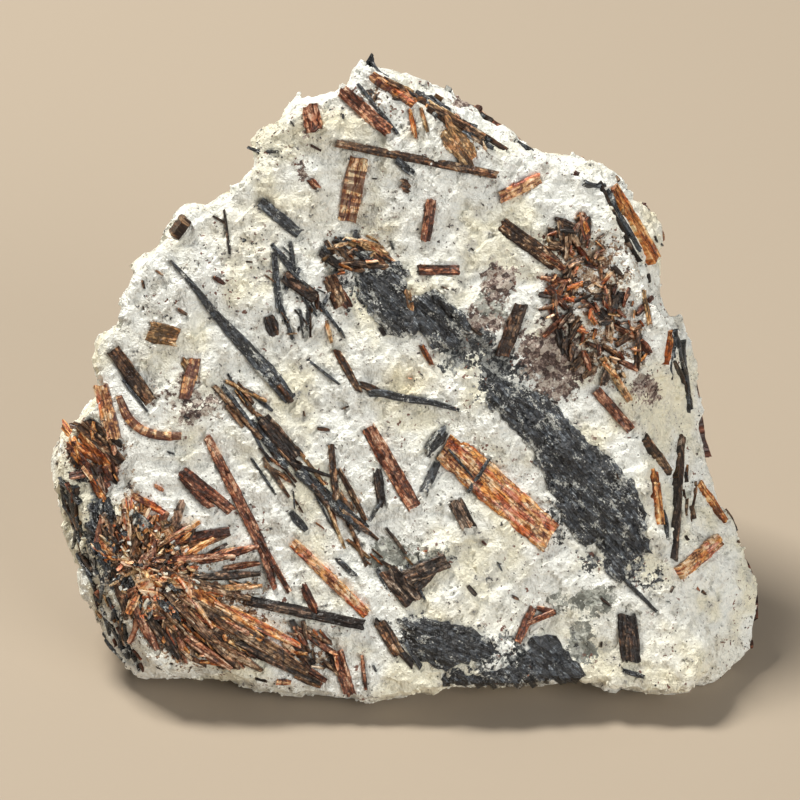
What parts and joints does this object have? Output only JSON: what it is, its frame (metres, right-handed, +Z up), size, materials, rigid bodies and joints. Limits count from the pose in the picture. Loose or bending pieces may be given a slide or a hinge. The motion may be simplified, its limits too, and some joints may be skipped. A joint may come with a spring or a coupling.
{
  "type": "astrophyllite mineral specimen",
  "caption": "Broken lump of white feldspar rock with bladed copper-brown astrophyllite and black aegirine crystals set in its face.",
  "frame": {"origin": "middle of the bounding box at the level of the flat base", "axes": "+Z up, +X to the right along the broken face, -Y towards the viewer of that face"},
  "size_m": [0.0862, 0.0614, 0.0672],
  "materials": {
    "feldspar": "sugary broken white rock with grey quartz and fine dark specks",
    "astrophyllite_copper": "bronze to copper mica-like blades with a submetallic cleavage sheen",
    "astrophyllite_brown": "red-brown to dark brown blades with a greasy cleavage sheen",
    "aegirine": "fibrous blue-black crystal, satin along the fibres"
  },
  "bodies": {
    "root": {"feldspar_matrix": "feldspar", "copper_blade_large": "astrophyllite_copper", "copper_blade_top_right": "astrophyllite_copper", "copper_blade_lower_right": "astrophyllite_copper", "copper_blade_lower_left": "astrophyllite_copper", "copper_blade_back": "astrophyllite_copper", "banded_blade_top": "astrophyllite_copper", "orange_blade_top": "astrophyllite_copper", "orange_blade_side": "astrophyllite_copper", "orange_blade_left": "astrophyllite_copper", "amber_blade_right_edge": "astrophyllite_copper", "amber_blade_side": "astrophyllite_copper", "gold_blade_right": "astrophyllite_copper", "gold_band_left": "astrophyllite_copper", "golden_flake_left": "astrophyllite_copper", "striped_blade_left": "astrophyllite_copper", "tan_blade_ridge": "astrophyllite_copper", "rust_block_top": "astrophyllite_copper", "rust_blade_low": "astrophyllite_copper", "brick_blade_centre": "astrophyllite_brown", "thin_blade_top": "astrophyllite_brown", "red_block_top": "astrophyllite_brown", "red_blade_right": "astrophyllite_brown", "red_blade_mid_left": "astrophyllite_brown", "brown_blade_top_right": "astrophyllite_brown", "brown_blade_upper_centre": "astrophyllite_brown", "brown_blade_upper_left": "astrophyllite_brown", "brown_blade_mid_top": "astrophyllite_brown", "brown_blade_ridge": "astrophyllite_brown", "brown_blade_side": "astrophyllite_brown", "brown_blade_left": "astrophyllite_brown", "brown_blade_far_left": "astrophyllite_brown", "brown_blade_right_back": "astrophyllite_brown", "brown_block_upper_left": "astrophyllite_brown", "brown_block_left_edge": "astrophyllite_brown", "brown_lens_low": "astrophyllite_brown", "grey_blade_side": "astrophyllite_brown", "striped_block_centre": "astrophyllite_brown", "dark_red_block_lower_right": "astrophyllite_brown", "dark_red_blade_left": "astrophyllite_brown", "dark_core_blade_centre": "astrophyllite_brown", "dark_blade_lower_left": "astrophyllite_brown", "dark_blades_low_centre": "astrophyllite_brown", "forked_blade_centre_left": "astrophyllite_brown", "forked_blade_low": "astrophyllite_brown", "astrophyllite_spray_left": "astrophyllite_brown", "astrophyllite_spray_right": "astrophyllite_brown", "black_blade_long": "aegirine", "black_blade_centre_left": "aegirine", "black_blade_upper_left": "aegirine", "black_blade_back": "aegirine", "black_blade_left_back": "aegirine", "black_band_centre": "aegirine", "black_streak_side": "aegirine", "black_mass_upper": "aegirine", "black_mass_centre": "aegirine", "black_mass_low": "aegirine", "black_mass_base": "aegirine", "black_mass_left": "aegirine"}
  },
  "joints": []
}
